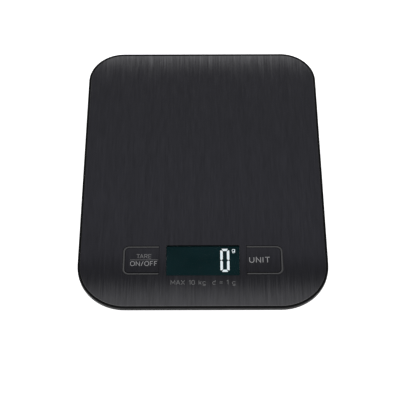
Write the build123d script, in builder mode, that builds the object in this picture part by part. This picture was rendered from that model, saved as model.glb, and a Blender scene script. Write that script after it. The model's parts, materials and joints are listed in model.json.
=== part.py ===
"""A slim kitchen scale: steel weighing plate, two keys, display, four load cells and a tray base.

Millimetres. The origin is under the middle of the scale, on the surface that it stands on.
+X is to the user's right, +Y is to the back and +Z is up, so the keys and display are at -Y.
"""

import os

from build123d import *

os.makedirs("parts", exist_ok=True)

# Overall size and outline
width = 180
length = 230
height = 18
front_corner = 35
back_corner = 27

# Heights, from the feet up
base_bottom = 3
floor_top = base_bottom + 1.6
parting = 14.7
panel_bottom = 15.6
panel_top = 17.2
plate_thickness = 0.6
plate_bottom = height - plate_thickness
rim_top = 17.9

# Top housing and plate
rim_width = 1.1
rim_round = 0.35
plate_inset = 1.7
plate_edge_round = 0.25
skirt_bottom = parting + 0.2
shell_gap = 0.3
lip_inset = 3.9
lip_width = 1.2
lip_bottom = 14
adhesive_inset = 6
adhesive_clearance = 0.2
rib_width = 1.2
rib_bottom = 13.6
cross_ribs = (-45, -12, 48, 80)
cross_rib_length = 164
long_ribs = (-38, 38)
long_rib_length = 125
long_rib_y = 17.5

# Base tray, whose wall leans in as it goes down
base_inset = 0.5
lean = 0.75
wall_width = 2.2
base_round = 2.4

# Keys: tongues cut out of the plate on three sides
key_tip = 56.8
key_root = 31.5
key_y = -76.35
key_depth = 22
key_corner = 3.75
half_slot = 0.95
root_gap = 0.03
zone_span = 40

# Key seals, and the recess in the housing under each key
half_rib = 0.45
seal_reach = 3.3
seal_levels = (16.5, 17.15)
seal_top = 17.85
seal_end_gap = 0.25
pocket_root = 30.3
pocket_grow = 3.8
pocket_floor = 16.45
pocket_corner = 1.5

# Key plungers and switches
plunger_x = 47
plunger_diameter = 4
plunger_levels = (14.75, 17.32)
plunger_round = 0.3
plunger_flange_diameter = 7
plunger_flange_top = 15.4
guide_diameter = 4.5
switch_size = 6.2
switch_corner = 0.4
switch_cover_size = 5.7
switch_cover_bottom = 13.5
switch_top = 13.8
switch_bore = 3.8
switch_bore_bottom = 12
switch_leg = (0.7, 0.6)
switch_leg_offset = (2.25, 3.4)
switch_leg_height = 1.4
stem_diameter = 3.4
stem_levels = (12.6, 14.7)
stem_round = 0.25

# Display window
display_y = -76.45
window_opening = (52.8, 24.8)
window_corner = 1
window_size = (52.5, 24.5)
window_size_corner = 0.85
window_top = 17.9
window_edge_round = 0.12
flange_size = (57, 28.9)
flange_corner = 1.3
flange_bottom = 16.6
flange_recess = (57.4, 29.3)
flange_recess_corner = 1.5

# Display, with the parts that hold, light and connect it
lcd_size = (52.4, 24.3)
lcd_levels = (14.5, 15.5, 16.5)
lcd_ledge = 2.05
lcd_opening = (53.2, 25.1)
lcd_opening_corner = 0.5
backlight_size = (52, 21.9)
backlight_levels = (12, 14.4)
backlight_chamfer = 0.2
zebra_size = (50, 1.6)
zebra_offset = -11.2
zebra_gap = 0.02
frame_size = (57.2, 28.3)
frame_corner = 1
frame_gap = 0.05
frame_cavity = (52.8, 24.8)
frame_shelf = (50.4, 22.3)
frame_shelf_top = 11.97
zebra_slot = (51, 2)

# Circuit board
board_size = (106, 30)
board_y = -77
board_levels = (10, 11.2)
board_corner = 2
chip_center = (8, board_y)
chip_diameter = 13
chip_bottom = 8.7
chip_round = 1.2
component_corner = 0.15
low_components_bottom = 9.4
low_components = (
    ((-8, -70), (2, 1.25)),
    ((-8, -74), (2, 1.25)),
    ((-8, -79), (1.6, 0.8)),
    ((-12, -72), (1.6, 0.8)),
)
high_components_bottom = 8.8
high_components = (
    ((-16, -82), (3.2, 2.6)),
    ((24, -72), (3, 3)),
    ((-4, -88), (8, 3.2)),
    ((26, -84), (3.2, 1.6)),
)

# Board screws
board_screws = [(x, y) for x in (-36, 36) for y in (-88.2, -65.5)]
board_boss_diameter = 5.5
board_pilot_diameter = 1.9
board_pilot_top = 14.6
board_hole_diameter = 2.4
board_head_diameter = 4.4
board_head_bottom = 8.7
board_head_round = 0.5
board_shank_diameter = 1.8
board_shank_top = 14.2
board_drive = (2.2, 0.5)
board_drive_top = 9.3

# Case screws
case_screws = [(x, y) for x in (-68, 68) for y in (-38, 38)] + [(0, -98), (0, 98)]
case_boss_diameter = 7
case_pilot_diameter = 2.4
case_pilot_top = 13.5
base_boss_diameter = 9
boss_meeting = 7.7
case_hole_diameter = 2.7
screw_seat = 5.2
counterbore_diameter = 5.6
case_head_diameter = 4.8
case_head_bottom = 3.7
case_head_round = 0.6
case_shank_diameter = 2.3
case_shank_top = 12.5
case_drive = (2.6, 0.6)
case_drive_top = 4.5

# Feet
corners = {
    "front_left": (-56, -81),
    "front_right": (56, -81),
    "back_left": (-60, 85),
    "back_right": (60, 85),
}
foot_hole_diameter = 27
foot_diameter = 25
foot_levels = (0.9, 4.4)
foot_round = 0.6
foot_web_top = 3
foot_cavity_diameter = 21
foot_hub_diameter = 8.6
foot_pilot_diameter = 3
pad_diameter = 20
pad_top = 1.5
pad_round = 0.4
pad_recess_diameter = 20.4
foot_screw_bottom = 3.2
foot_screw_diameter = 2.9
foot_head_diameter = 5.5
foot_head_levels = (7.02, 8.2)
foot_head_round = 0.5
foot_drive = (2.8, 0.6)
foot_drive_bottom = 7.6

# Load cells, each in a pocket of the base under a retainer
cell_size = 30
cell_levels = (5.8, 7)
cell_corner = 3
cell_window = (20, 21)
cell_window_corner = 1.5
tongue_width = 9
tongue_length = 15
tongue_offset = 3
tongue_root_length = 6
tongue_root_offset = 8
tongue_hole = 3.4
gauge_size = (5, 6)
gauge_offset = 6.2
gauge_corner = 0.4
gauge_thickness = 0.15
pocket_wall = 1.4
pocket_inner = 30.8
pocket_wall_top = 8.1
cell_seat = 5.2
cell_seat_offset = 12.6
wire_notch = 5.2
wire_notch_length = 4.2
wire_notch_bottom = 6.9
retainer_size = 30.2
retainer_corner = 2.8
retainer_opening = 23.4
retainer_opening_corner = 2
retainer_levels = (7.05, 8.05)
retainer_notch_offset = 13.5
retainer_notch_length = 5
retainer_notch_bottom = 7.1

# Battery compartment
bay_y = 18
bay_half = 27
bay_wall = 1.2
bay_wall_top = 15.3
bay_end_bottom = 4.9
bay_side = (-36, 34)
bay_corner = 0.8
finger_recess_x = 37
finger_recess_size = (9.5, 16)
finger_recess_top = 4
finger_recess_corner = 3
lead_hole_width = 1.6
lead_hole_levels = (11.2, 12.8)

# Batteries: two AAA cells lying along X
cell_pitch = 11.2
battery_diameter = 10.5
battery_body = 43.3
battery_round = 0.6
battery_z = 10.1
battery_end = 25
nub_length = 1.2
nub_diameter = 3.8

# Battery contacts
contact_thickness = 0.4
contact_face = 26.4
contact_levels = (5.6, 14.6)
contact_width = 8.4
dimple_diameter = 4.8
dimple_length = 1.35
dimple_taper = 20
spring_pitch = 1.5
spring_length = 6
spring_radius = 3.4
spring_cone = -9
spring_sink = 0.3
spring_wire_diameter = 0.5

# Battery door
door_half = 32
door_depth = 22.6
door_gap = 0.3
door_corner = 0.6
hook_offset = 6.5
hook_width = 4
hook_top = 5.5
hook_web_x = -31.35
hook_web_length = 0.9
hook_nose_x = -32.85
hook_nose_length = 2.1
hook_nose_bottom = 4.75
grip_pitch = 4
grip_count = 12
grip_size = (1.2, 15)
grip_corner = 0.55
grip_top = 3.35
latch_notch_x = 31
latch_notch = (4.5, 10.6)

# Door latch: an upright on the door, folded over at the top into a springy arm
latch_depth = 10
latch_top = 9
upright_x = 28.7
upright_length = 0.8
upright_bottom = 4.2
upright_root_x = 27.75
upright_root_length = 2.4
fold_x = 29.85
fold_length = 1.3
fold_bottom = 8.5
arm_x = 30.65
arm_length = 0.9
arm_bottom = 3.2
catch_x = 31.95
catch_length = 1.8
catch_levels = (5.1, 5.9)
catch_depth = 7
thumb_x = 31.25
thumb_length = 1.2
thumb_top = 4

# Wires
wire_diameter = 1
wire_pitch = 1.3
wire_start = 8
floor_lane = 5.2
cell_lane = 7.7
board_lane = 9.98
front_climb_x = 31
front_bends = [1.6]
back_lane_x = 40
back_climb_x = 33
back_lane_y = (-15, -40, -58, -74)
back_bends = [3, 12, 12, 12, 3]
lead_start_x = 26.9
lead_z = 12
lead_lanes = (35.5, 37)
lead_ends = (22, 23.5)
lead_y = (-8, -40, -64.5)
lead_bends = [3.2, 12, 12, 3]


def rounded(center, size, corner, level):
    """A rectangle at a height, with rounded corners where a radius is given."""
    with BuildSketch(Plane.XY.offset(level)) as face:
        with Locations(center):
            if corner:
                RectangleRounded(*size, corner)
            else:
                Rectangle(*size)
    return face.sketch


def block(center, size, levels, corner=0, mode=Mode.ADD):
    """An upright block between two heights."""
    extrude(rounded(center, size, corner, levels[0]), amount=levels[1] - levels[0], mode=mode)


def post(centers, diameter, levels, mode=Mode.ADD):
    """Upright round posts, or holes, between two heights."""
    with BuildSketch(Plane.XY.offset(levels[0])) as face:
        with Locations(*centers):
            Circle(diameter / 2)
    extrude(face.sketch, amount=levels[1] - levels[0], mode=mode)


def rod(start_x, y, z, diameter, amount, taper=0):
    """A round piece along X, which may narrow as it goes."""
    with BuildSketch(Plane.YZ.offset(start_x)) as face:
        with Locations((y, z)):
            Circle(diameter / 2)
    extrude(face.sketch, amount=amount, taper=taper)


def cross_drive(centers, size, levels):
    """A cross-shaped driver recess in each screw head."""
    for center in centers:
        for arm in (size, size[::-1]):
            block(center, arm, levels, mode=Mode.SUBTRACT)


def outline(inset, level):
    """The scale's outline at a height, drawn in from its widest contour."""
    with BuildSketch(Plane.XY.offset(level)) as face:
        Rectangle(width - 2 * inset, length - 2 * inset)
        fillet(face.vertices().group_by(Axis.Y)[0], front_corner - inset)
        fillet(face.vertices().group_by(Axis.Y)[-1], back_corner - inset)
    return face.sketch


def key_zone(side, start, grow, level, hollow=None):
    """The shape of a key, or a band round its three free sides, from start outward."""
    with BuildSketch(Plane.XY.offset(level)) as zone:
        with Locations((0, key_y)):
            for extra, mode in ((grow, Mode.ADD), (hollow, Mode.SUBTRACT)):
                if extra is not None:
                    RectangleRounded(
                        2 * (key_tip + extra), key_depth + 2 * extra, key_corner + extra, mode=mode
                    )
        with Locations((side * (start + zone_span), key_y)):
            Rectangle(2 * zone_span, 2 * zone_span, mode=Mode.INTERSECT)
    return zone.sketch


def pocket_center(side):
    """The middle of the recess under a key and its seal."""
    return (side * (pocket_root + key_tip + pocket_grow) / 2, key_y)


def pocket_size(grow):
    """The size of the recess under a key and its seal."""
    return (key_tip + pocket_grow - pocket_root + 2 * grow, key_depth + 2 * (pocket_grow + grow))


def save(piece, label):
    """Names a finished piece and writes it."""
    piece.part.label = label
    export_step(piece.part, f"parts/{label}.step")


# Weighing plate: brushed steel sheet with a window and two key slots
def make_plate():
    with BuildPart() as plate:
        extrude(outline(plate_inset, plate_bottom), amount=plate_thickness)
        fillet(plate.faces().sort_by(Axis.Z)[-1].edges(), plate_edge_round)
        block((0, display_y), window_opening, (plate_bottom, height), window_corner, Mode.SUBTRACT)
        for side in (-1, 1):
            slot = key_zone(side, key_root, half_slot, plate_bottom)
            extrude(slot, amount=plate_thickness, mode=Mode.SUBTRACT)
    save(plate, "platform_plate")


# Keys: the spring tongues of the plate, each hinged beside the display
def make_keys():
    for side, label in ((-1, "power_key"), (1, "unit_key")):
        with BuildPart() as key:
            tongue = key_zone(side, key_root + root_gap, -half_slot, plate_bottom)
            extrude(tongue, amount=plate_thickness)
        save(key, label)


# Key seals: a soft rib that fills each slot, on a flange under the fixed plate
def make_key_seals():
    start = key_root + seal_end_gap
    for side, label in ((-1, "power_key_seal"), (1, "unit_key_seal")):
        with BuildPart() as seal:
            flange = key_zone(side, start, seal_reach, seal_levels[0], -half_rib)
            extrude(flange, amount=seal_levels[1] - seal_levels[0])
            rib = key_zone(side, start, half_rib, seal_levels[1], -half_rib)
            extrude(rib, amount=seal_top - seal_levels[1])
        save(seal, label)


# Adhesive film that bonds the plate to the top housing
def make_adhesive():
    film = (panel_top, plate_bottom)
    opening = [size + 2 * adhesive_clearance for size in window_opening]
    with BuildPart() as adhesive:
        extrude(outline(adhesive_inset, film[0]), amount=film[1] - film[0])
        block((0, display_y), opening, film, window_corner, Mode.SUBTRACT)
        for side in (-1, 1):
            pocket = pocket_size(adhesive_clearance)
            block(pocket_center(side), pocket, film, pocket_corner, Mode.SUBTRACT)
    save(adhesive, "plate_adhesive")


# Top housing: moulded frame that carries the plate, display, board and key plungers
def make_top_housing():
    with BuildPart() as housing:
        extrude(outline(0, skirt_bottom), amount=rim_top - skirt_bottom)
        fillet(housing.faces().sort_by(Axis.Z)[-1].edges(), rim_round)
        extrude(outline(rim_width, panel_top), amount=height - panel_top, mode=Mode.SUBTRACT)
        hollow = outline(base_inset + wall_width + shell_gap, skirt_bottom)
        extrude(hollow, amount=panel_bottom - skirt_bottom, mode=Mode.SUBTRACT)

        extrude(outline(lip_inset, lip_bottom), amount=panel_bottom - lip_bottom)
        inside = outline(lip_inset + lip_width, lip_bottom)
        extrude(inside, amount=panel_bottom - lip_bottom, mode=Mode.SUBTRACT)

        for y in cross_ribs:
            block((0, y), (cross_rib_length, rib_width), (rib_bottom, panel_bottom))
        for x in long_ribs:
            block((x, long_rib_y), (rib_width, long_rib_length), (rib_bottom, panel_bottom))
        post(case_screws, case_boss_diameter, (boss_meeting, panel_bottom))
        post(case_screws, case_pilot_diameter, (boss_meeting, case_pilot_top), Mode.SUBTRACT)
        post(board_screws, board_boss_diameter, (board_levels[1], panel_bottom))
        post(board_screws, board_pilot_diameter, (board_levels[1], board_pilot_top), Mode.SUBTRACT)

        through = (panel_bottom, panel_top)
        recess = (flange_bottom, panel_top)
        block((0, display_y), flange_recess, recess, flange_recess_corner, Mode.SUBTRACT)
        block((0, display_y), lcd_opening, through, lcd_opening_corner, Mode.SUBTRACT)
        for side in (-1, 1):
            pocket = (pocket_floor, panel_top)
            block(pocket_center(side), pocket_size(0), pocket, pocket_corner, Mode.SUBTRACT)
            post([(side * plunger_x, key_y)], guide_diameter, through, Mode.SUBTRACT)
    save(housing, "top_housing")


# Key plungers: pins that pass the key's movement to the switches
def make_plungers():
    for side, label in ((-1, "power_plunger"), (1, "unit_plunger")):
        center = [(side * plunger_x, key_y)]
        with BuildPart() as plunger:
            post(center, plunger_diameter, plunger_levels)
            fillet(plunger.edges().group_by(Axis.Z)[-1], plunger_round)
            post(center, plunger_flange_diameter, (plunger_levels[0], plunger_flange_top))
        save(plunger, label)


# Switches: a square body with a metal cover plate, and the round stem that clicks down
def make_switches():
    bottom = board_levels[1]
    for side, prefix in ((-1, "power"), (1, "unit")):
        x = side * plunger_x
        with BuildPart() as body:
            block((x, key_y), (switch_size, switch_size), (bottom, switch_cover_bottom), switch_corner)
            cover = (switch_cover_size, switch_cover_size)
            block((x, key_y), cover, (switch_cover_bottom, switch_top), switch_corner)
            post([(x, key_y)], switch_bore, (switch_bore_bottom, switch_top), Mode.SUBTRACT)
            for sign_x in (-1, 1):
                for sign_y in (-1, 1):
                    leg_x = x + sign_x * switch_leg_offset[0]
                    leg_y = key_y + sign_y * switch_leg_offset[1]
                    block((leg_x, leg_y), switch_leg, (bottom, bottom + switch_leg_height))
        save(body, f"{prefix}_switch_body")

        with BuildPart() as stem:
            post([(x, key_y)], stem_diameter, stem_levels)
            fillet(stem.edges().group_by(Axis.Z)[-1], stem_round)
        save(stem, f"{prefix}_switch_stem")


# Display window: stepped clear lens held between the plate and the housing
def make_window():
    with BuildPart() as window:
        block((0, display_y), flange_size, (flange_bottom, panel_top), flange_corner)
        block((0, display_y), window_size, (panel_top, window_top), window_size_corner)
        fillet(window.faces().sort_by(Axis.Z)[-1].edges(), window_edge_round)
    save(window, "display_window")


# Display: two glasses, the front one with a contact ledge along its near edge
def make_lcd():
    rear_center = (0, display_y + lcd_ledge / 2)
    with BuildPart() as lcd:
        block((0, display_y), lcd_size, lcd_levels[1:])
        block(rear_center, (lcd_size[0], lcd_size[1] - lcd_ledge), lcd_levels[:2])
    save(lcd, "lcd_panel")

    with BuildPart() as backlight:
        block(rear_center, backlight_size, backlight_levels)
        chamfer(backlight.edges().group_by(Axis.Z)[-1], backlight_chamfer)
    save(backlight, "lcd_backlight")

    zebra_center = (0, display_y + zebra_offset)
    with BuildPart() as zebra:
        block(zebra_center, zebra_size, (board_levels[1] + zebra_gap, lcd_levels[1] - zebra_gap))
    save(zebra, "zebra_strip")

    levels = (board_levels[1] + frame_gap, panel_bottom - frame_gap)
    with BuildPart() as frame:
        block((0, display_y), frame_size, levels, frame_corner)
        block((0, display_y), frame_cavity, (frame_shelf_top, levels[1]), mode=Mode.SUBTRACT)
        block((0, display_y), frame_shelf, levels, mode=Mode.SUBTRACT)
        block(zebra_center, zebra_slot, levels, mode=Mode.SUBTRACT)
    save(frame, "lcd_frame")


# Circuit board, with the parts on its underside
def make_board():
    underside = board_levels[0]
    with BuildPart() as board:
        block((0, board_y), board_size, board_levels, board_corner)
        post(board_screws, board_hole_diameter, board_levels, Mode.SUBTRACT)
    save(board, "main_board")

    with BuildPart() as chip:
        post([chip_center], chip_diameter, (chip_bottom, underside))
        fillet(chip.edges().group_by(Axis.Z)[0], chip_round)
    save(chip, "controller_chip")

    with BuildPart() as components:
        for center, size in low_components:
            block(center, size, (low_components_bottom, underside), component_corner)
        for center, size in high_components:
            block(center, size, (high_components_bottom, underside), component_corner)
    save(components, "board_components")

    with BuildPart() as screws:
        post(board_screws, board_head_diameter, (board_head_bottom, underside))
        fillet(screws.edges().group_by(Axis.Z)[0], board_head_round)
        post(board_screws, board_shank_diameter, (underside, board_shank_top))
        cross_drive(board_screws, board_drive, (board_head_bottom, board_drive_top))
    save(screws, "board_screws")


# Base: tray with leaning walls, screw bosses, load cell pockets and the battery compartment
def make_base():
    floor_inset = base_inset + (parting - base_bottom) * lean
    cavity_inset = base_inset + (parting - floor_top) * lean + wall_width
    with BuildPart() as base:
        loft([outline(floor_inset, base_bottom), outline(base_inset, parting)], ruled=True)
        fillet(base.faces().sort_by(Axis.Z)[0].edges(), base_round)
        cavity = [outline(cavity_inset, floor_top), outline(base_inset + wall_width, parting)]
        loft(cavity, ruled=True, mode=Mode.SUBTRACT)

        post(case_screws, base_boss_diameter, (floor_top, boss_meeting))
        post(case_screws, case_hole_diameter, (base_bottom, boss_meeting), Mode.SUBTRACT)
        post(case_screws, counterbore_diameter, (base_bottom, screw_seat), Mode.SUBTRACT)

        wall = pocket_inner + 2 * pocket_wall
        pocket = (floor_top, pocket_wall_top)
        for x, y in corners.values():
            block((x, y), (wall, wall), pocket, cell_corner + pocket_wall)
            block((x, y), (pocket_inner, pocket_inner), pocket, cell_corner, Mode.SUBTRACT)
            notch_x = x - wall / 2 if x > 0 else x + wall / 2
            notch = (wire_notch_length, wire_notch)
            block((notch_x, y), notch, (wire_notch_bottom, pocket_wall_top), mode=Mode.SUBTRACT)
            for step_x in (-cell_seat_offset, cell_seat_offset):
                for step_y in (-cell_seat_offset, cell_seat_offset):
                    seat_center = (x + step_x, y + step_y)
                    block(seat_center, (cell_seat, cell_seat), (floor_top, cell_levels[0]))
        post(corners.values(), foot_hole_diameter, (base_bottom, cell_levels[0]), Mode.SUBTRACT)

        opening = (2 * (door_half + door_gap), door_depth + 2 * door_gap)
        block((0, bay_y), opening, (base_bottom, floor_top), bay_corner, Mode.SUBTRACT)
        side_wall = (bay_side[1] - bay_side[0], bay_wall)
        end_wall = (bay_wall, opening[1] + bay_wall)
        for sign in (-1, 1):
            side_center = (sum(bay_side) / 2, bay_y + sign * (opening[1] + bay_wall) / 2)
            block(side_center, side_wall, (floor_top, bay_wall_top))
            end_center = (sign * (bay_half + bay_wall / 2), bay_y)
            block(end_center, end_wall, (bay_end_bottom, bay_wall_top))
        for sign in (-1, 1):
            lead_center = (bay_half + bay_wall / 2, bay_y + sign * cell_pitch / 2)
            lead_hole = (2 * bay_wall, lead_hole_width)
            block(lead_center, lead_hole, lead_hole_levels, mode=Mode.SUBTRACT)
        recess = (base_bottom, finger_recess_top)
        recess_center = (finger_recess_x, bay_y)
        block(recess_center, finger_recess_size, recess, finger_recess_corner, Mode.SUBTRACT)
    save(base, "base_shell")


# Case screws: pan heads sunk in the base, driven into the housing bosses
def make_case_screws():
    with BuildPart() as screws:
        post(case_screws, case_head_diameter, (case_head_bottom, screw_seat))
        fillet(screws.edges().group_by(Axis.Z)[0], case_head_round)
        post(case_screws, case_shank_diameter, (screw_seat, case_shank_top))
        cross_drive(case_screws, case_drive, (case_head_bottom, case_drive_top))
    save(screws, "case_screws")


# Load cells: steel plates with a sprung tongue, each clamped in its pocket by a retainer
def make_load_cells():
    for corner, (x, y) in corners.items():
        inward = -1 if x > 0 else 1
        with BuildPart() as cell:
            block((x, y), (cell_size, cell_size), cell_levels, cell_corner)
            block((x, y), cell_window, cell_levels, cell_window_corner, Mode.SUBTRACT)
            tongue = (tongue_length, tongue_width)
            block((x + inward * tongue_offset, y), tongue, cell_levels, cell_window_corner)
            root = (tongue_root_length, tongue_width)
            block((x + inward * tongue_root_offset, y), root, cell_levels)
            post([(x, y)], tongue_hole, cell_levels, Mode.SUBTRACT)
        save(cell, f"load_cell_{corner}")

        with BuildPart() as retainer:
            block((x, y), (retainer_size, retainer_size), retainer_levels, retainer_corner)
            opening = (retainer_opening, retainer_opening)
            block((x, y), opening, retainer_levels, retainer_opening_corner, Mode.SUBTRACT)
            notch_center = (x + inward * retainer_notch_offset, y)
            notch_levels = (retainer_notch_bottom, retainer_levels[1])
            notch = (retainer_notch_length, wire_notch)
            block(notch_center, notch, notch_levels, mode=Mode.SUBTRACT)
        save(retainer, f"cell_retainer_{corner}")

    gauge_levels = (cell_levels[1], cell_levels[1] + gauge_thickness)
    with BuildPart() as gauges:
        for x, y in corners.values():
            gauge_x = x - gauge_offset if x > 0 else x + gauge_offset
            block((gauge_x, y), gauge_size, gauge_levels, gauge_corner)
    save(gauges, "strain_gauges")


# Feet: a cup on each load cell's tongue, with a rubber pad and a screw from above
def make_feet():
    hub_levels = (foot_web_top, cell_levels[0])
    for corner, center in corners.items():
        with BuildPart() as foot:
            post([center], foot_diameter, foot_levels)
            fillet(foot.edges().group_by(Axis.Z)[0], foot_round)
            post([center], pad_recess_diameter, (foot_levels[0], pad_top), Mode.SUBTRACT)
            post([center], foot_cavity_diameter, (foot_web_top, foot_levels[1]), Mode.SUBTRACT)
            post([center], foot_hub_diameter, hub_levels)
            post([center], foot_pilot_diameter, hub_levels, Mode.SUBTRACT)
        save(foot, f"foot_{corner}")

        with BuildPart() as pad:
            post([center], pad_diameter, (0, pad_top))
            fillet(pad.edges().group_by(Axis.Z)[0], pad_round)
        save(pad, f"foot_pad_{corner}")

        with BuildPart() as screw:
            post([center], foot_head_diameter, foot_head_levels)
            fillet(screw.edges().group_by(Axis.Z)[-1], foot_head_round)
            post([center], foot_screw_diameter, (foot_screw_bottom, foot_head_levels[0]))
            cross_drive([center], foot_drive, (foot_drive_bottom, foot_head_levels[1]))
        save(screw, f"foot_screw_{corner}")


# Battery door: flat lid with two hooks at one end, and the latch with its fold at the other
def make_door():
    levels = (base_bottom, floor_top)
    with BuildPart() as door:
        block((0, bay_y), (2 * door_half, door_depth), levels, door_corner)
        for y in (bay_y - hook_offset, bay_y + hook_offset):
            block((hook_web_x, y), (hook_web_length, hook_width), (floor_top, hook_top))
            block((hook_nose_x, y), (hook_nose_length, hook_width), (hook_nose_bottom, hook_top))
        for step in range(grip_count):
            grip_center = (grip_pitch * (step - (grip_count - 1) / 2), bay_y)
            block(grip_center, grip_size, (base_bottom, grip_top), grip_corner, Mode.SUBTRACT)
        block((latch_notch_x, bay_y), latch_notch, levels, mode=Mode.SUBTRACT)
        block((upright_x, bay_y), (upright_length, latch_depth), (upright_bottom, latch_top))
        root = (upright_root_length, latch_depth)
        block((upright_root_x, bay_y), root, (upright_bottom, floor_top))
    save(door, "battery_door")

    with BuildPart() as latch:
        block((fold_x, bay_y), (fold_length, latch_depth), (fold_bottom, latch_top))
        block((arm_x, bay_y), (arm_length, latch_depth), (arm_bottom, latch_top))
        block((catch_x, bay_y), (catch_length, catch_depth), catch_levels)
        block((thumb_x, bay_y), (thumb_length, catch_depth), (arm_bottom, thumb_top))
    save(latch, "door_latch")


# Batteries: the front cell's positive end is at +X, the back cell's at -X
def make_batteries():
    for sign, label in ((1, "battery_front"), (-1, "battery_back")):
        y = bay_y - sign * cell_pitch / 2
        shoulder = sign * (battery_end - nub_length)
        with BuildPart() as battery:
            rod(shoulder, y, battery_z, battery_diameter, -sign * battery_body)
            fillet(battery.edges(), battery_round)
            rod(shoulder, y, battery_z, nub_diameter, sign * nub_length)
        save(battery, label)


# Battery contacts: bridge at -X, separate tabs at +X, and a spring for each negative end
def make_contacts():
    front_y = bay_y - cell_pitch / 2
    back_y = bay_y + cell_pitch / 2
    plates = (
        ("contact_bridge", -1, bay_y, cell_pitch + contact_width, back_y),
        ("contact_positive", 1, front_y, contact_width, front_y),
        ("contact_negative", 1, back_y, contact_width, None),
    )
    for label, sign, y, span, dimple_y in plates:
        with BuildPart() as contact:
            x = sign * (contact_face + contact_thickness / 2)
            block((x, y), (contact_thickness, span), contact_levels)
            if dimple_y is not None:
                face_x = sign * contact_face
                rod(face_x, dimple_y, battery_z, dimple_diameter, -sign * dimple_length, dimple_taper)
        save(contact, label)

    with BuildPart() as springs:
        for sign in (-1, 1):
            start = (sign * (contact_face - spring_sink), bay_y + sign * cell_pitch / 2, battery_z)
            with BuildLine() as coil:
                Helix(spring_pitch, spring_length, spring_radius, start, (-sign, 0, 0), spring_cone)
            with BuildSketch(Plane(origin=coil.line @ 0, z_dir=coil.line % 0)) as section:
                Circle(spring_wire_diameter / 2)
            sweep(section.sketch, path=coil.line, is_frenet=True)
    save(springs, "contact_springs")


def wire(points, bends):
    """One insulated wire along straight runs joined by arcs."""
    with BuildLine(mode=Mode.PRIVATE) as route:
        FilletPolyline(*points, radius=bends)
    with BuildSketch(Plane(origin=route.line @ 0, z_dir=route.line % 0)) as section:
        Circle(wire_diameter / 2)
    sweep(section.sketch, path=route.line)


# Wires: three from each load cell and two from the battery contacts, all to the board
def make_wires():
    for corner, (x, y) in corners.items():
        side = -1 if x < 0 else 1
        start = (x - side * wire_start, y, cell_lane)
        if y < 0:
            climb = side * front_climb_x
            points = [start, (climb, y, cell_lane), (climb, y, board_lane)]
            bends = front_bends
        else:
            lane = side * back_lane_x
            climb = side * back_climb_x
            points = [
                start,
                (lane, y, cell_lane),
                (lane, y + back_lane_y[0], floor_lane),
                (lane, back_lane_y[1], floor_lane),
                (climb, back_lane_y[2], floor_lane),
                (climb, back_lane_y[3], floor_lane),
                (climb, back_lane_y[3], board_lane),
            ]
            bends = back_bends
        with BuildPart() as bundle:
            for step in (-wire_pitch, 0, wire_pitch):
                wire([(px - side * step, py + step, pz) for px, py, pz in points], bends)
        save(bundle, f"sensor_wires_{corner}")

    with BuildPart() as leads:
        for sign, lane, end in zip((-1, 1), lead_lanes, lead_ends):
            y = bay_y + sign * cell_pitch / 2
            points = [
                (lead_start_x, y, lead_z),
                (lane, y, lead_z),
                (lane, lead_y[0], floor_lane),
                (lane, lead_y[1], floor_lane),
                (end, lead_y[2], floor_lane),
                (end, lead_y[2], board_lane),
            ]
            wire(points, lead_bends)
    save(leads, "battery_wires")


make_plate()
make_keys()
make_key_seals()
make_adhesive()
make_top_housing()
make_plungers()
make_switches()
make_window()
make_lcd()
make_board()
make_base()
make_case_screws()
make_load_cells()
make_feet()
make_door()
make_batteries()
make_contacts()
make_wires()
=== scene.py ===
import json
import math

import bmesh
import bpy
from mathutils import Matrix, Vector


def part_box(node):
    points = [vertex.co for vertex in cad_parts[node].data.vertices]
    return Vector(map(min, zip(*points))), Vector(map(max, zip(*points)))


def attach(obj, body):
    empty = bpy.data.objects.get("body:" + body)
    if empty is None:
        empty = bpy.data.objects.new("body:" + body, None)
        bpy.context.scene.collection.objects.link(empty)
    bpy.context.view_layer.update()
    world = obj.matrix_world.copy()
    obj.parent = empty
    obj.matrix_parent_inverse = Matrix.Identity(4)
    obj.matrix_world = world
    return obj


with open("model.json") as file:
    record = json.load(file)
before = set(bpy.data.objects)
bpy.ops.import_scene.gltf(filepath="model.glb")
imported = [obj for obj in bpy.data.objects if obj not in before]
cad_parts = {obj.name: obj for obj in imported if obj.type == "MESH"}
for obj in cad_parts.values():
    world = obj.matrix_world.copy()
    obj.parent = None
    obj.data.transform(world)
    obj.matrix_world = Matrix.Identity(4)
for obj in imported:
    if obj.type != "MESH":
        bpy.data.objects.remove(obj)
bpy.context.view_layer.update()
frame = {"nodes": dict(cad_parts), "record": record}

MM = 0.001
ROOT = "housing"
nodes = frame["nodes"]
slot_of = {row["node"]: row["material_slot"] for row in frame["record"]["subparts"]}
plate_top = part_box("platform_plate")[1].z

# Ink tones, and how far the ink lies below and above the plate
INK_TONES = {"key_print": 0.38, "soft_print": 0.21, "plate_print": 0.19}
INK_BELOW = 0.01 * MM
INK_ABOVE = 0.012 * MM

# Key names: piece, text, key, place from the key's middle, width, cap height, stroke (mm) and ink
KEY_LABELS = (
    ("label_tare", "TARE", "power_key", (1.24, 3.3), 10.6, 3.1, 0.36, "soft_print"),
    ("label_on_off", "ON/OFF", "power_key", (1.24, -2.7), 19.0, 3.4, 0.4, "key_print"),
    ("label_unit", "UNIT", "unit_key", (-2.89, 0.1), 14.4, 4.2, 0.52, "key_print"),
)
RULE_PLACE = (1.49, 0.35)
RULE_LENGTH = 20
RULE_WIDTH = 0.3
CAPACITY_TEXT = "MAX 10 kg  d = 1 g"
CAPACITY_DROP = 3.6
CAPACITY_SIZE = (45.6, 3.3)
CAPACITY_STROKE = 0.34

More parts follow.
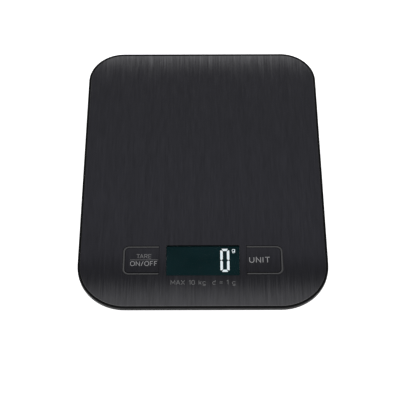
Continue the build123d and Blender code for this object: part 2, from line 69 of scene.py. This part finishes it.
# Lit digit and unit (mm), placed from the display's lower right and upper right corners
DIGIT_SIZE = (6.5, 19.0)
DIGIT_STROKE = 1.75
DIGIT_GAP = 0.32
DIGIT_CUT = 1.1
DIGIT_PLACE = (-13.6, 3.4)
UNIT_PLACE = (-5.0, -4.35)
UNIT_SIZE = (3.25, 2.99)
UNIT_STROKE = 0.4
LIT_BELOW = 0.01 * MM
LIT_ABOVE = 0.04 * MM

# Camera: angles in degrees, distances in metres, lens and sensor in millimetres
CAMERA_ELEVATION = 57.45
CAMERA_AZIMUTH = 0.07
CAMERA_ROLL = -0.225
CAMERA_DISTANCE = 847.6 * MM
CAMERA_TARGET = (-1.97 * MM, -25.1 * MM)
CAMERA_LENS = 102.7
CAMERA_SENSOR = 36
CAMERA_NEAR = 0.02

# Stage: floor half width, and the softbox's place, aim, size and radiance
FLOOR_HALF = 6
FLOOR_GLOW = 0.93
SOFTBOX_CENTER = (0, -0.9, 2.2)
SOFTBOX_AIM = (0, -0.9, 0)
SOFTBOX_SIZE = (4, 3)
SOFTBOX_RADIANCE = 0.6


# ---------------------------------------------------------------- node helpers

class Finish:
    """A node material with one Principled shader, built up by small named steps."""

    def __init__(self, name, color, roughness, **shader_values):
        self.material = bpy.data.materials.new(name)
        self.material.use_nodes = True
        self.tree = self.material.node_tree
        self.shader = self.tree.nodes["Principled BSDF"]
        self.shader.inputs["Base Color"].default_value = (*color, 1)
        self.shader.inputs["Roughness"].default_value = roughness
        for socket, value in shader_values.items():
            self.shader.inputs[socket.replace("_", " ")].default_value = value
        self.place = self.add("ShaderNodeTexCoord").outputs["Object"]

    def add(self, kind, links=None, **settings):
        """Adds a node, sets its properties, and links or sets its inputs."""
        node = self.tree.nodes.new(kind)
        for key, value in settings.items():
            setattr(node, key, value)
        for socket, value in (links or {}).items():
            self.set(node.inputs[socket], value)
        return node

    def set(self, socket, value):
        """Links an output to a socket, or sets the socket's own value."""
        if isinstance(value, bpy.types.NodeSocket):
            self.tree.links.new(value, socket)
        else:
            socket.default_value = value

    def stretched(self, scale):
        """The object's coordinates in metres, scaled along X, Y and Z."""
        mapping = self.add("ShaderNodeMapping", {"Vector": self.place, "Scale": scale})
        return mapping.outputs["Vector"]

    def noise(self, scale, stretch=(1, 1, 1), detail=3, roughness=0.5):
        """Smooth noise; scale times stretch is in features per metre."""
        links = {"Vector": self.stretched(stretch), "Scale": scale, "Detail": detail, "Roughness": roughness}
        return self.add("ShaderNodeTexNoise", links).outputs["Fac"]

    def cell_edges(self, scale):
        """Distance to the nearest edge between cells; scale is in cells per metre."""
        links = {"Vector": self.place, "Scale": scale}
        return self.add("ShaderNodeTexVoronoi", links, feature="DISTANCE_TO_EDGE").outputs["Distance"]

    def ramp(self, factor, low, high, out=(0.0, 1.0)):
        """Maps a value from low..high to the out range."""
        links = {0: factor, 1: low, 2: high, 3: out[0], 4: out[1]}
        return self.add("ShaderNodeMapRange", links, clamp=True).outputs[0]

    def maths(self, operation, first, second):
        """One Math node."""
        return self.add("ShaderNodeMath", {0: first, 1: second}, operation=operation).outputs[0]

    def blend(self, factor, first, second):
        """Mixes two colours."""
        node = self.add("ShaderNodeMix", data_type="RGBA")
        for name, value in (("Factor", factor), ("A", first), ("B", second)):
            sockets = [s for s in node.inputs if s.name == name and s.enabled]
            value = (*value, 1) if isinstance(value, tuple) and len(value) == 3 else value
            self.set(sockets[0], value)
        return [s for s in node.outputs if s.enabled][0]

    def axis(self, name):
        """One of the object's coordinates, in metres."""
        return self.add("ShaderNodeSeparateXYZ", {0: self.place}).outputs[name]

    def color(self, value):
        self.set(self.shader.inputs["Base Color"], value)

    def roughness(self, value):
        self.set(self.shader.inputs["Roughness"], value)

    def tilt(self, amount, slope):
        """Leans the surface toward +Y and -Y by up to half the slope, as the amount goes from 0 to 1."""
        lean = self.maths("MULTIPLY", self.maths("SUBTRACT", amount, 0.5), slope)
        offset = self.add("ShaderNodeCombineXYZ", {"Y": lean}).outputs[0]
        face = self.add("ShaderNodeNewGeometry").outputs["Normal"]
        leaned = self.add("ShaderNodeVectorMath", {0: face, 1: offset}, operation="ADD").outputs[0]
        normal = self.add("ShaderNodeVectorMath", {0: leaned}, operation="NORMALIZE").outputs[0]
        self.set(self.shader.inputs["Normal"], normal)

    def bump(self, height, distance, strength=1.0):
        """Adds a bump on top of those before it; distance is in metres."""
        node = self.add("ShaderNodeBump", {"Height": height, "Distance": distance, "Strength": strength})
        normal = self.shader.inputs["Normal"]
        if normal.links:
            self.tree.links.new(normal.links[0].from_socket, node.inputs["Normal"])
        self.tree.links.new(node.outputs["Normal"], normal)


def near_edges(finish, width):
    """0 on open faces and 1 within a width of an edge."""
    rounded = finish.add("ShaderNodeBevel", {"Radius": width}, samples=4)
    face = finish.add("ShaderNodeNewGeometry").outputs["Normal"]
    product = finish.add("ShaderNodeVectorMath", {0: rounded.outputs[0], 1: face}, operation="DOT_PRODUCT")
    return finish.ramp(product.outputs["Value"], 0.995, 0.9)


def worn_edges(finish, base, worn, width=0.12 * MM, amount=0.6):
    """Brightens edges, as handling does, broken up by noise."""
    patchy = finish.ramp(finish.noise(700, detail=4), 0.35, 0.7)
    mask = finish.maths("MULTIPLY", finish.maths("MULTIPLY", near_edges(finish, width), patchy), amount)
    finish.color(finish.blend(mask, base, worn))


# ---------------------------------------------------------------- materials

def brushed_plate():
    """Black-coated steel, brushed front to back, with painted shade darkening its colour along its cut edges.
    """
    finish = Finish("brushed_plate", (0.17, 0.17, 0.17), 0.08, Metallic=1.0, Anisotropic=0.98)
    across = finish.add("ShaderNodeCombineXYZ", {"X": 1.0})
    finish.set(finish.shader.inputs["Tangent"], across.outputs[0])
    broad = finish.noise(1, (300, 12, 12), detail=2, roughness=0.6)
    middle = finish.noise(1, (900, 60, 60), detail=3, roughness=0.6)
    fine = finish.noise(1, (5000, 60, 60), detail=3, roughness=0.6)
    streaks = finish.maths("ADD", finish.maths("MULTIPLY", broad, 0.3), finish.maths("MULTIPLY", middle, 0.7))
    tone = finish.ramp(streaks, 0.3, 0.7)
    color = finish.blend(tone, (0.14, 0.14, 0.14), (0.2, 0.2, 0.201))
    # Painted shade: within 0.35 mm of each edge the colour turns almost black, standing in for the shadow in
    # the gaps around the plate and its key slots.
    finish.color(finish.blend(near_edges(finish, 0.35 * MM), color, (0.045, 0.045, 0.047)))
    finish.roughness(finish.ramp(finish.maths("ADD", fine, middle), 0.75, 1.3, (0.065, 0.1)))
    finish.tilt(finish.noise(1, (1700, 14, 14), detail=4, roughness=0.7), 0.0145)
    finish.bump(middle, 0.012 * MM, 1.0)
    finish.bump(fine, 0.003 * MM, 1.0)
    return finish.material


def black_abs():
    """Moulded black ABS with a fine spark-eroded texture."""
    finish = Finish("black_abs", (0.004, 0.004, 0.0045), 0.4, Specular_IOR_Level=0.12)
    grain = finish.noise(4200, detail=3, roughness=0.6)
    cloud = finish.noise(60, detail=3)
    finish.roughness(finish.ramp(cloud, 0.3, 0.7, (0.36, 0.48)))
    base = finish.blend(cloud, (0.0025, 0.0025, 0.003), (0.005, 0.005, 0.0055))
    worn_edges(finish, base, (0.014, 0.014, 0.015))
    finish.bump(grain, 0.018 * MM, 0.8)
    return finish.material


def white_abs():
    """Natural white ABS for inner mouldings."""
    finish = Finish("white_abs", (0.8, 0.8, 0.78), 0.45)
    cloud = finish.noise(90, detail=3)
    finish.color(finish.blend(cloud, (0.74, 0.74, 0.71), (0.85, 0.85, 0.83)))
    finish.roughness(finish.ramp(cloud, 0.3, 0.7, (0.38, 0.52)))
    finish.bump(finish.noise(2600, detail=2), 0.01 * MM, 0.5)
    return finish.material


def grey_silicone():
    """Grey silicone of the key seals, slightly dusty."""
    finish = Finish("grey_silicone", (0.06, 0.06, 0.062), 0.6, Specular_IOR_Level=0.2)
    dust = finish.noise(900, detail=4, roughness=0.65)
    finish.color(finish.blend(dust, (0.07, 0.07, 0.072), (0.115, 0.115, 0.118)))
    finish.roughness(finish.ramp(dust, 0.3, 0.7, (0.5, 0.72)))
    finish.bump(finish.noise(5000, detail=2), 0.01 * MM, 0.5)
    return finish.material


def window_lens():
    """Clear window with a very faint tint and a little handling haze."""
    finish = Finish("window_lens", (0.01, 0.02, 0.02), 0.3, Specular_IOR_Level=0.3, Alpha=0.06)
    haze = finish.noise(120, (1, 0.4, 1), detail=4, roughness=0.6)
    finish.roughness(finish.ramp(haze, 0.4, 0.75, (0.22, 0.36)))
    finish.set(finish.shader.inputs["Alpha"], finish.ramp(haze, 0.3, 0.8, (0.04, 0.09)))
    finish.bump(finish.noise(25, detail=1), 0.002 * MM, 0.3)
    return finish.material


def lcd_glass():
    """Negative display: dark teal, with the backlight leaking through unevenly."""
    finish = Finish(
        "lcd_glass", (0.002, 0.004, 0.005), 0.12, Emission_Strength=1.0, Specular_IOR_Level=0.08,
    )
    glow = finish.noise(45, (1, 1.6, 1), detail=2)
    leak = finish.blend(finish.ramp(glow, 0.35, 0.65), (0.0012, 0.0092, 0.0107), (0.0024, 0.0122, 0.0142))
    finish.set(finish.shader.inputs["Emission Color"], leak)
    lines = finish.noise(1, (9000, 9000, 50), detail=1)
    finish.color(finish.blend(lines, (0.001, 0.003, 0.0035), (0.002, 0.005, 0.0055)))
    finish.bump(finish.noise(800, detail=2), 0.002 * MM, 0.3)
    return finish.material


def lit_segment():
    """A lit display segment: cool white, a little uneven from the backlight."""
    finish = Finish("lit_segment", (0.32, 0.36, 0.38), 0.3, Emission_Strength=0.76)
    glow = finish.noise(500, detail=2)
    finish.set(
        finish.shader.inputs["Emission Color"],
        finish.blend(finish.ramp(glow, 0.3, 0.7), (0.80, 0.95, 1.0), (0.98, 1.0, 1.0)),
    )
    finish.bump(finish.noise(3000, detail=2), 0.002 * MM, 0.3)
    return finish.material


def printed_ink(name):
    """Thin screen-printed ink, with slightly broken coverage."""
    tone = INK_TONES[name]
    finish = Finish(name, (tone, tone, tone), 0.55)
    coverage = finish.noise(2500, detail=4, roughness=0.65)
    low = tone * 0.75
    high = tone * 1.15
    finish.color(finish.blend(finish.ramp(coverage, 0.3, 0.6), (low, low, low), (high, high, high * 1.02)))
    finish.roughness(finish.ramp(coverage, 0.3, 0.7, (0.48, 0.65)))
    finish.bump(coverage, 0.002 * MM, 0.4)
    return finish.material


def foot_rubber():
    """Black foot rubber, dusty where it meets the worktop."""
    finish = Finish("foot_rubber", (0.02, 0.02, 0.02), 0.75, Specular_IOR_Level=0.3)
    dust = finish.noise(400, detail=5, roughness=0.7)
    finish.color(finish.blend(finish.ramp(dust, 0.45, 0.75), (0.015, 0.015, 0.015), (0.06, 0.058, 0.055)))
    finish.roughness(finish.ramp(dust, 0.3, 0.7, (0.65, 0.85)))
    finish.bump(finish.noise(3500, detail=3), 0.02 * MM, 0.7)
    return finish.material


def bare_metal(name, color, roughness, stretch):
    """Plated or ground metal with tool marks along one direction."""
    finish = Finish(name, color, roughness, Metallic=1.0)
    marks = finish.noise(1, stretch, detail=4, roughness=0.6)
    spots = finish.noise(350, detail=4, roughness=0.6)
    dark = tuple(c * 0.72 for c in color)
    finish.color(finish.blend(finish.ramp(spots, 0.35, 0.7), color, dark))
    finish.roughness(finish.ramp(marks, 0.3, 0.7, (roughness * 0.75, roughness * 1.35)))
    finish.bump(marks, 0.004 * MM, 0.6)
    return finish.material


def plain_moulding(name, color, roughness, spread=0.18):
    """A small moulded or coated part with slight tone and gloss variation."""
    finish = Finish(name, color, roughness)
    cloud = finish.noise(320, detail=4, roughness=0.6)
    dark = tuple(c * (1 - spread) for c in color)
    light = tuple(min(1.0, c * (1 + spread)) for c in color)
    finish.color(finish.blend(cloud, dark, light))
    finish.roughness(finish.ramp(cloud, 0.3, 0.7, (roughness * 0.8, min(1.0, roughness * 1.2))))
    finish.bump(finish.noise(3000, detail=2), 0.006 * MM, 0.5)
    return finish.material


def green_board():
    """Solder-masked circuit board with faint tracks under the mask."""
    finish = Finish("green_board", (0.01, 0.09, 0.035), 0.3, Coat_Weight=0.4, Coat_Roughness=0.2)
    tracks = finish.cell_edges(260)
    mask = finish.ramp(tracks, 0.02, 0.05)
    finish.color(finish.blend(mask, (0.03, 0.19, 0.07), (0.008, 0.075, 0.03)))
    finish.roughness(finish.ramp(finish.noise(200), 0.3, 0.7, (0.25, 0.4)))
    finish.bump(mask, 0.02 * MM, 0.4)
    return finish.material


def battery_jacket():
    """Printed cell jacket: a dark body with a copper-coloured band at its positive end and bare ends."""
    finish = Finish("battery_jacket", (0.03, 0.03, 0.035), 0.28, Metallic=0.6)
    x = finish.axis("X")
    y = finish.axis("Y")
    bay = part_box("battery_front")
    middle = (bay[0].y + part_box("battery_back")[1].y) / 2
    end = bay[1].x
    side = finish.ramp(y, middle - 0.1 * MM, middle + 0.1 * MM, (1.0, -1.0))
    along = finish.maths("MULTIPLY", x, side)
    band = finish.maths("GREATER_THAN", along, end - 13 * MM)
    tip = finish.maths("GREATER_THAN", along, end - 1.9 * MM)
    scuffs = finish.noise(300, (0.4, 1, 1), detail=5, roughness=0.65)
    body = finish.blend(finish.ramp(scuffs, 0.5, 0.8), (0.02, 0.02, 0.024), (0.07, 0.07, 0.075))
    banded = finish.blend(band, body, (0.45, 0.19, 0.06))
    finish.color(finish.blend(tip, banded, (0.6, 0.6, 0.6)))
    finish.roughness(finish.ramp(scuffs, 0.3, 0.7, (0.2, 0.36)))
    finish.bump(scuffs, 0.01 * MM, 0.3)
    return finish.material


def wire_insulation():
    """Red insulated wire, slightly uneven in tone and gloss."""
    finish = Finish("wire_insulation", (0.4, 0.02, 0.015), 0.4)
    cloud = finish.noise(600, detail=3)
    finish.color(finish.blend(cloud, (0.36, 0.015, 0.012), (0.5, 0.03, 0.02)))
    finish.roughness(finish.ramp(cloud, 0.3, 0.7, (0.34, 0.5)))
    finish.bump(cloud, 0.01 * MM, 0.3)
    return finish.material


# The studio dome: elevation in degrees, radiance, and blue relative to red
DOME = (
    (0, 1.0, 1.0),
    (8, 0.9, 1.0),
    (18, 0.46, 1.0),
    (47, 0.46, 1.0),
    (49.5, 0.9, 1.05),
    (50.05, 0.87, 1.05),
    (50.36, 0.365, 1.05),
    (50.58, 0.335, 1.05),
    (50.72, 0.158, 1.1),
    (51, 0.14, 1.15),
    (57.5, 0.156, 1.18),
    (60.1, 0.148, 1.18),
    (60.9, 0.088, 1.18),
    (61.45, 0.082, 1.18),
    (61.7, 0.185, 1.1),
    (62.65, 0.4, 1.07),
    (65, 0.44, 1.0),
    (90, 0.6, 1.0),
)

FINISHES = {
    "brushed_plate": brushed_plate,
    "adhesive_film": lambda: plain_moulding("adhesive_film", (0.62, 0.6, 0.52), 0.7),
    "black_abs": black_abs,
    "white_abs": white_abs,
    "grey_silicone": grey_silicone,
    "window_lens": window_lens,
    "lcd_glass": lcd_glass,
    "light_guide": lambda: plain_moulding("light_guide", (0.8, 0.82, 0.84), 0.2, 0.06),
    "pink_rubber": lambda: plain_moulding("pink_rubber", (0.6, 0.22, 0.26), 0.65),
    "green_board": green_board,
    "black_epoxy": lambda: plain_moulding("black_epoxy", (0.012, 0.012, 0.012), 0.4, 0.3),
    "component_ceramic": lambda: plain_moulding("component_ceramic", (0.36, 0.25, 0.16), 0.5, 0.3),
    "zinc_screws": lambda: bare_metal("zinc_screws", (0.62, 0.62, 0.63), 0.3, (900, 900, 60)),
    "gauge_foil": lambda: plain_moulding("gauge_foil", (0.6, 0.3, 0.08), 0.35),
    "sensor_steel": lambda: bare_metal("sensor_steel", (0.5, 0.5, 0.49), 0.34, (120, 2600, 300)),
    "foot_rubber": foot_rubber,
    "battery_jacket": battery_jacket,
    "nickel_contacts": lambda: bare_metal("nickel_contacts", (0.66, 0.63, 0.57), 0.25, (200, 1800, 200)),
    "wire_insulation": wire_insulation,
}


def dress_nodes():
    """Gives every CAD node the finish of its material slot."""
    made = {slot: make() for slot, make in FINISHES.items()}
    for name, obj in nodes.items():
        material = made[slot_of[name]]
        if obj.material_slots:
            for place in obj.material_slots:
                place.material = material
        else:
            obj.data.materials.append(material)


# ---------------------------------------------------------------- mesh helpers

def mesh_object(name, bm, material, body):
    """Makes a piece from a bmesh, with its finish and CAD body."""
    bmesh.ops.recalc_face_normals(bm, faces=bm.faces)
    mesh = bpy.data.meshes.new(name)
    bm.to_mesh(mesh)
    bm.free()
    obj = bpy.data.objects.new(name, mesh)
    bpy.context.scene.collection.objects.link(obj)
    obj.data.materials.append(material)
    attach(obj, body)


def prism(bm, outline, bottom, top):
    """A closed prism over a flat outline, between two heights."""
    low = [bm.verts.new((x, y, bottom)) for x, y in outline]
    high = [bm.verts.new((x, y, top)) for x, y in outline]
    bm.faces.new(low)
    bm.faces.new(high)
    count = len(outline)
    for i in range(count):
        j = (i + 1) % count
        bm.faces.new((low[i], low[j], high[j], high[i]))


def ribbon(bm, points, width, bottom, top, closed=False):
    """A flat stroke of even width along a line of points, with mitred joins."""
    half = width / 2
    line = [Vector(p) for i, p in enumerate(points) if i == 0 or Vector(p) != Vector(points[i - 1])]
    count = len(line)
    rows = []
    for i, point in enumerate(line):
        before = line[i - 1] if (i or closed) else None
        after = line[(i + 1) % count] if (i < count - 1 or closed) else None
        into = (point - before).normalized() if before is not None else (after - point).normalized()
        out = (after - point).normalized() if after is not None else into
        normal = Vector((-(into + out).y, (into + out).x)).normalized()
        reach = half / max(0.4, normal.dot(Vector((-out.y, out.x))))
        sides = (point + normal * reach, point - normal * reach)
        rows.append([bm.verts.new((s.x, s.y, z)) for s in sides for z in (bottom, top)])
    pairs = list(zip(rows, rows[1:] + rows[:1])) if closed else list(zip(rows, rows[1:]))
    for a, b in pairs:
        for first, second in ((0, 1), (1, 3), (3, 2), (2, 0)):
            bm.faces.new((a[first], a[second], b[second], b[first]))
    if not closed:
        bm.faces.new((rows[0][0], rows[0][1], rows[0][3], rows[0][2]))
        bm.faces.new((rows[-1][0], rows[-1][2], rows[-1][3], rows[-1][1]))


def arc(center, radii, start, end, steps=10):
    """Points along an elliptical arc, angles in degrees."""
    turns = [math.radians(start + (end - start) * i / steps) for i in range(steps + 1)]
    return [(center[0] + radii[0] * math.cos(t), center[1] + radii[1] * math.sin(t)) for t in turns]


# ---------------------------------------------------------------- lettering

def capsule(width, low=0.0, high=1.0):
    """A closed upright loop with round ends, such as an O or a 0."""
    radius = width / 2
    bend = min(radius, 0.32)
    top = arc((radius, high - bend), (radius, bend), 0, 180, 12)
    return top + arc((radius, low + bend), (radius, bend), 180, 360, 12)


# Letters that lean apart are set closer, in cap heights
KERNING = {("T", "A"): -0.26, ("A", "R"): -0.06, ("A", "X"): -0.06, ("M", "A"): -0.04}


def glyphs():
    """Plain letterforms: each is its width and its strokes, in cap heights."""
    bowl = arc((0.3, 0.3), (0.3, 0.3), 90, -90)
    return {
        "A": (0.8, [[(0, 0), (0.4, 1), (0.8, 0)], [(0.14, 0.32), (0.66, 0.32)]]),
        "E": (0.62, [[(0.62, 1), (0, 1), (0, 0), (0.62, 0)], [(0, 0.52), (0.54, 0.52)]]),
        "F": (0.54, [[(0.54, 1), (0, 1), (0, 0)], [(0, 0.5), (0.46, 0.5)]]),
        "I": (0.0, [[(0, 0), (0, 1)]]),
        "M": (0.86, [[(0, 0), (0, 1), (0.43, 0.3), (0.86, 1), (0.86, 0)]]),
        "N": (0.74, [[(0, 0), (0, 1), (0.74, 0), (0.74, 1)]]),
        "O": (0.84, [("loop", capsule(0.84))]),
        "R": (0.68, [
            [(0, 0), (0, 1)] + arc((0.4, 0.74), (0.28, 0.26), 90, -90) + [(0, 0.48)],
            [(0.36, 0.48), (0.68, 0)],
        ]),
        "T": (0.74, [[(0, 1), (0.74, 1)], [(0.37, 1), (0.37, 0)]]),
        "U": (0.74, [[(0, 1), (0, 0.34)] + arc((0.37, 0.34), (0.37, 0.34), 180, 360) + [(0.74, 1)]]),
        "X": (0.74, [[(0, 0), (0.74, 1)], [(0, 1), (0.74, 0)]]),
        "0": (0.62, [("loop", capsule(0.62))]),
        "1": (0.26, [[(0, 0.78), (0.26, 1), (0.26, 0)]]),
        "d": (0.56, [[(0.56, 0), (0.56, 1)], ("loop", capsule(0.56, 0, 0.68))]),
        "g": (0.56, [
            ("loop", capsule(0.56, 0, 0.68)),
            [(0.56, 0.68), (0.56, -0.04)] + arc((0.28, -0.04), (0.28, 0.26), 0, -150, 8),
        ]),
        "k": (0.5, [[(0, 0), (0, 1)], [(0.48, 0.68), (0.02, 0.27)], [(0.18, 0.4), (0.5, 0)]]),
        "=": (0.6, [[(0, 0.32), (0.6, 0.32)], [(0, 0.62), (0.6, 0.62)]]),
        "/": (0.42, [[(0, -0.05), (0.42, 1.05)]]),
        " ": (0.3, []),
    }


def draw_strokes(bm, strokes, origin, scale, width, bottom, top):
    """Draws a glyph's strokes from an origin, with a scale along X and along Y."""
    for stroke in strokes:
        closed = stroke[0] == "loop"
        points = stroke[1] if closed else stroke
        placed = [(origin[0] + x * scale[0], origin[1] + y * scale[1]) for x, y in points]
        ribbon(bm, placed, width, bottom, top, closed)


def lettering(name, text, center, width, height, weight, material, body):
    """Printed text of a stated overall width and cap height, lying on the plate."""
    shapes = glyphs()
    widths = [shapes[ch][0] * height for ch in text]
    kerns = [KERNING.get(pair, 0) * height for pair in zip(text, text[1:])] + [0]
    gap = (width - sum(widths) - sum(kerns)) / max(1, len(text) - 1)
    bottom = plate_top - INK_BELOW
    top = plate_top + INK_ABOVE
    bm = bmesh.new()
    x = center[0] - width / 2
    y = center[1] - height / 2
    for ch, wide, kern in zip(text, widths, kerns):
        draw_strokes(bm, shapes[ch][1], (x, y), (height, height), weight, bottom, top)
        x += wide + gap + kern
    mesh_object(name, bm, material, body)


def middle_of(node):
    """The middle of a CAD node's box, seen from above, in metres."""
    low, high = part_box(node)
    return (low.x + high.x) / 2, (low.y + high.y) / 2


def make_markings():
    """Key names, the rule between two of them, and the capacity line."""
    inks = {name: printed_ink(name) for name in INK_TONES}
    for name, text, key, place, width, height, weight, ink in KEY_LABELS:
        x, y = middle_of(key)
        center = (x + place[0] * MM, y + place[1] * MM)
        lettering(name, text, center, width * MM, height * MM, weight * MM, inks[ink], key)
    center = (0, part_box("display_window")[0].y - CAPACITY_DROP * MM)
    width, height = (size * MM for size in CAPACITY_SIZE)
    stroke = CAPACITY_STROKE * MM
    lettering("label_capacity", CAPACITY_TEXT, center, width, height, stroke, inks["plate_print"], ROOT)
    x, y = middle_of("power_key")
    rule_x = x + RULE_PLACE[0] * MM
    rule_y = y + RULE_PLACE[1] * MM
    half = RULE_LENGTH / 2 * MM
    bm = bmesh.new()
    rule = [(rule_x - half, rule_y), (rule_x + half, rule_y)]
    ribbon(bm, rule, RULE_WIDTH * MM, plate_top - INK_BELOW, plate_top + INK_ABOVE)
    mesh_object("label_rule", bm, inks["soft_print"], "power_key")


# ---------------------------------------------------------------- display

def zero_segments(width, height, stroke, gap, cut):
    """Outlines of the six lit segments of a zero, from its lower left corner."""
    middle = height / 2
    half = stroke / 2
    slim = gap / 2
    a = [(cut, height), (width - cut, height), (width - stroke - slim, height - stroke),
         (stroke + slim, height - stroke)]
    f = [(0, middle + slim + half * 0.5), (half, middle + slim), (stroke, middle + slim + half),
         (stroke, height - stroke - gap), (cut * 0.55, height - cut - slim), (0, height - cut - gap)]
    b = [(width - x, y) for x, y in f]
    c = [(x, height - y) for x, y in b]
    d = [(x, height - y) for x, y in a]
    e = [(x, height - y) for x, y in f]
    return (a, b, c, d, e, f)


def make_display():
    """A lit zero and its unit on the face of the display, just under the window."""
    lit = lit_segment()
    low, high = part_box("lcd_panel")
    bottom = high.z - LIT_BELOW
    top = high.z + LIT_ABOVE
    left = high.x + DIGIT_PLACE[0] * MM
    base = low.y + DIGIT_PLACE[1] * MM
    sizes = (size * MM for size in (*DIGIT_SIZE, DIGIT_STROKE, DIGIT_GAP, DIGIT_CUT))
    bm = bmesh.new()
    for shape in zero_segments(*sizes):
        prism(bm, [(x + left, y + base) for x, y in shape], bottom, top)
    mesh_object("display_zero", bm, lit, ROOT)
    origin = (high.x + UNIT_PLACE[0] * MM, high.y + UNIT_PLACE[1] * MM)
    scale = (UNIT_SIZE[0] * MM, UNIT_SIZE[1] * MM)
    bm = bmesh.new()
    draw_strokes(bm, glyphs()["g"][1], origin, scale, UNIT_STROKE * MM, bottom, top)
    mesh_object("display_unit", bm, lit, ROOT)


# ---------------------------------------------------------------- stage, light and camera

def make_floor():
    """A plain pale floor."""
    finish = Finish("floor", (0.93, 0.93, 0.93), 0.7, Specular_IOR_Level=0.2, Emission_Strength=FLOOR_GLOW)
    finish.set(finish.shader.inputs["Emission Color"], (1, 1, 1, 1))
    cloud = finish.noise(3, detail=3)
    finish.color(finish.blend(cloud, (0.92, 0.92, 0.92), (0.95, 0.95, 0.95)))
    finish.bump(finish.noise(900, detail=2), 0.01 * MM, 0.2)
    bm = bmesh.new()
    bmesh.ops.create_grid(bm, x_segments=1, y_segments=1, size=FLOOR_HALF)
    mesh = bpy.data.meshes.new("floor")
    bm.to_mesh(mesh)
    bm.free()
    floor = bpy.data.objects.new("floor", mesh)
    floor.data.materials.append(finish.material)
    bpy.context.scene.collection.objects.link(floor)


def softbox(name, center, aim, size, radiance):
    """A rectangular area light of a stated radiance, facing its aim."""
    light = bpy.data.lights.new(name, "AREA")
    light.shape = "RECTANGLE"
    light.size = size[0]
    light.size_y = size[1]
    light.energy = radiance * math.pi * size[0] * size[1]
    obj = bpy.data.objects.new(name, light)
    obj.location = center
    obj.rotation_euler = (Vector(center) - Vector(aim)).to_track_quat("Z", "Y").to_euler()
    bpy.context.scene.collection.objects.link(obj)


def make_lights():
    """A studio dome that is dark where the plate mirrors it to the camera, and a softbox overhead."""
    world = bpy.data.worlds.new("studio")
    world.use_nodes = True
    tree = world.node_tree
    place = tree.nodes.new("ShaderNodeTexCoord")
    flatten = tree.nodes.new("ShaderNodeVectorMath")
    flatten.operation = "MULTIPLY"
    flatten.inputs[1].default_value = (0, 1, 1)
    level = tree.nodes.new("ShaderNodeVectorMath")
    level.operation = "NORMALIZE"
    split = tree.nodes.new("ShaderNodeSeparateXYZ")
    ramp = tree.nodes.new("ShaderNodeValToRGB")
    tree.links.new(place.outputs["Generated"], flatten.inputs[0])
    tree.links.new(flatten.outputs[0], level.inputs[0])
    tree.links.new(level.outputs[0], split.inputs[0])
    tree.links.new(split.outputs["Z"], ramp.inputs[0])
    tree.links.new(ramp.outputs["Color"], tree.nodes["Background"].inputs["Color"])
    stops = ramp.color_ramp.elements
    while len(stops) > 1:
        stops.remove(stops[-1])
    for index, (elevation, radiance, blue) in enumerate(DOME):
        position = math.sin(math.radians(elevation))
        stop = stops[0] if index == 0 else stops.new(position)
        stop.position = position
        stop.color = (radiance, radiance, radiance * blue, 1)
    bpy.context.scene.world = world
    softbox("overhead", SOFTBOX_CENTER, SOFTBOX_AIM, SOFTBOX_SIZE, SOFTBOX_RADIANCE)


def make_camera():
    """Looks down at the plate from the front, with a long lens."""
    elevation = math.radians(CAMERA_ELEVATION)
    azimuth = math.radians(CAMERA_AZIMUTH)
    roll = math.radians(CAMERA_ROLL)
    target = Vector((*CAMERA_TARGET, plate_top))
    back = Vector((
        math.sin(azimuth) * math.cos(elevation),
        -math.cos(azimuth) * math.cos(elevation),
        math.sin(elevation),
    ))
    level = (-back).cross(Vector((0, 0, 1))).normalized()
    upward = level.cross(-back)
    right = level * math.cos(roll) + upward * math.sin(roll)
    up = upward * math.cos(roll) - level * math.sin(roll)
    data = bpy.data.cameras.new("camera")
    data.sensor_width = CAMERA_SENSOR
    data.lens = CAMERA_LENS
    data.clip_start = CAMERA_NEAR
    camera = bpy.data.objects.new("camera", data)
    turn = Matrix((right, up, back)).transposed().to_4x4()
    camera.matrix_world = Matrix.Translation(target + back * CAMERA_DISTANCE) @ turn
    bpy.context.scene.collection.objects.link(camera)
    bpy.context.scene.camera = camera


bpy.context.scene.view_settings.view_transform = "Standard"
make_camera()
dress_nodes()
make_markings()
make_display()
make_floor()
make_lights()
